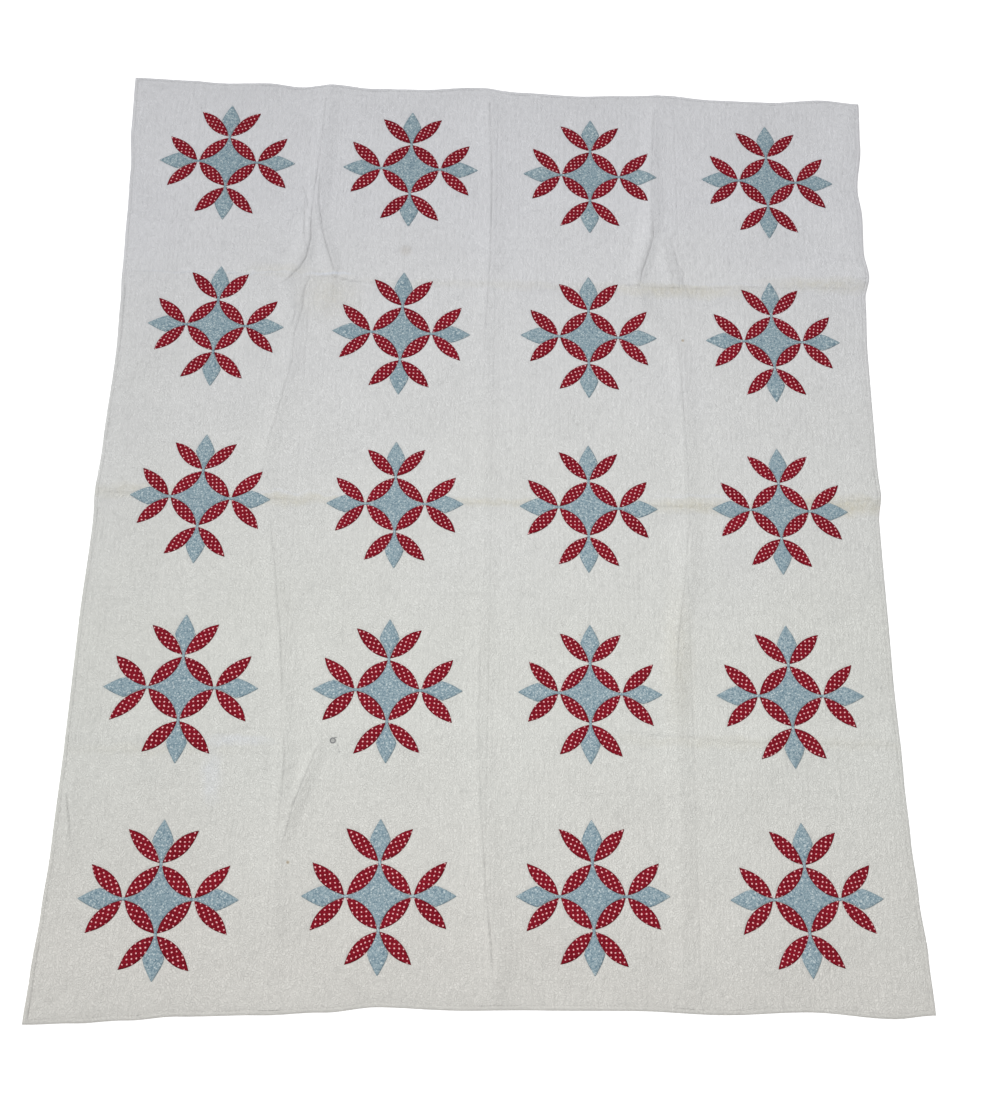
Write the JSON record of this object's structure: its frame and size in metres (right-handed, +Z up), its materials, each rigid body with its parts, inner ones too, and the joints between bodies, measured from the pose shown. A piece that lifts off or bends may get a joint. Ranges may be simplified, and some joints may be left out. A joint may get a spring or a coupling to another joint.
{
  "type": "applique quilt",
  "caption": "Cotton applique quilt laid flat, with light blue star flowers and dotted red leaves on quilted off-white blocks, fold ridges and a narrow self binding.",
  "frame": {"origin": "on the floor under the middle of the quilt's outline", "axes": "+Y towards the head edge, +X to the right seen from above with the head up, +Z up out of the face"},
  "size_m": [1.785, 2.226, 0.0138],
  "materials": {
    "muslin": "matte",
    "binding_cloth": "matte",
    "blue_calico": "matte",
    "red_calico": "matte"
  },
  "bodies": {
    "root": {"quilt_body": "muslin", "binding_head": "binding_cloth", "binding_foot": "binding_cloth", "binding_left": "binding_cloth", "binding_right": "binding_cloth", "star_r1_c1": "blue_calico", "star_r1_c2": "blue_calico", "star_r1_c3": "blue_calico", "star_r1_c4": "blue_calico", "star_r2_c1": "blue_calico", "star_r2_c2": "blue_calico", "star_r2_c3": "blue_calico", "star_r2_c4": "blue_calico", "star_r3_c1": "blue_calico", "star_r3_c2": "blue_calico", "star_r3_c3": "blue_calico", "star_r3_c4": "blue_calico", "star_r4_c1": "blue_calico", "star_r4_c2": "blue_calico", "star_r4_c3": "blue_calico", "star_r4_c4": "blue_calico", "star_r5_c1": "blue_calico", "star_r5_c2": "blue_calico", "star_r5_c3": "blue_calico", "star_r5_c4": "blue_calico", "leaves_r1_c1": "red_calico", "leaves_r1_c2": "red_calico", "leaves_r1_c3": "red_calico", "leaves_r1_c4": "red_calico", "leaves_r2_c1": "red_calico", "leaves_r2_c2": "red_calico", "leaves_r2_c3": "red_calico", "leaves_r2_c4": "red_calico", "leaves_r3_c1": "red_calico", "leaves_r3_c2": "red_calico", "leaves_r3_c3": "red_calico", "leaves_r3_c4": "red_calico", "leaves_r4_c1": "red_calico", "leaves_r4_c2": "red_calico", "leaves_r4_c3": "red_calico", "leaves_r4_c4": "red_calico", "leaves_r5_c1": "red_calico", "leaves_r5_c2": "red_calico", "leaves_r5_c3": "red_calico", "leaves_r5_c4": "red_calico"}
  },
  "joints": []
}
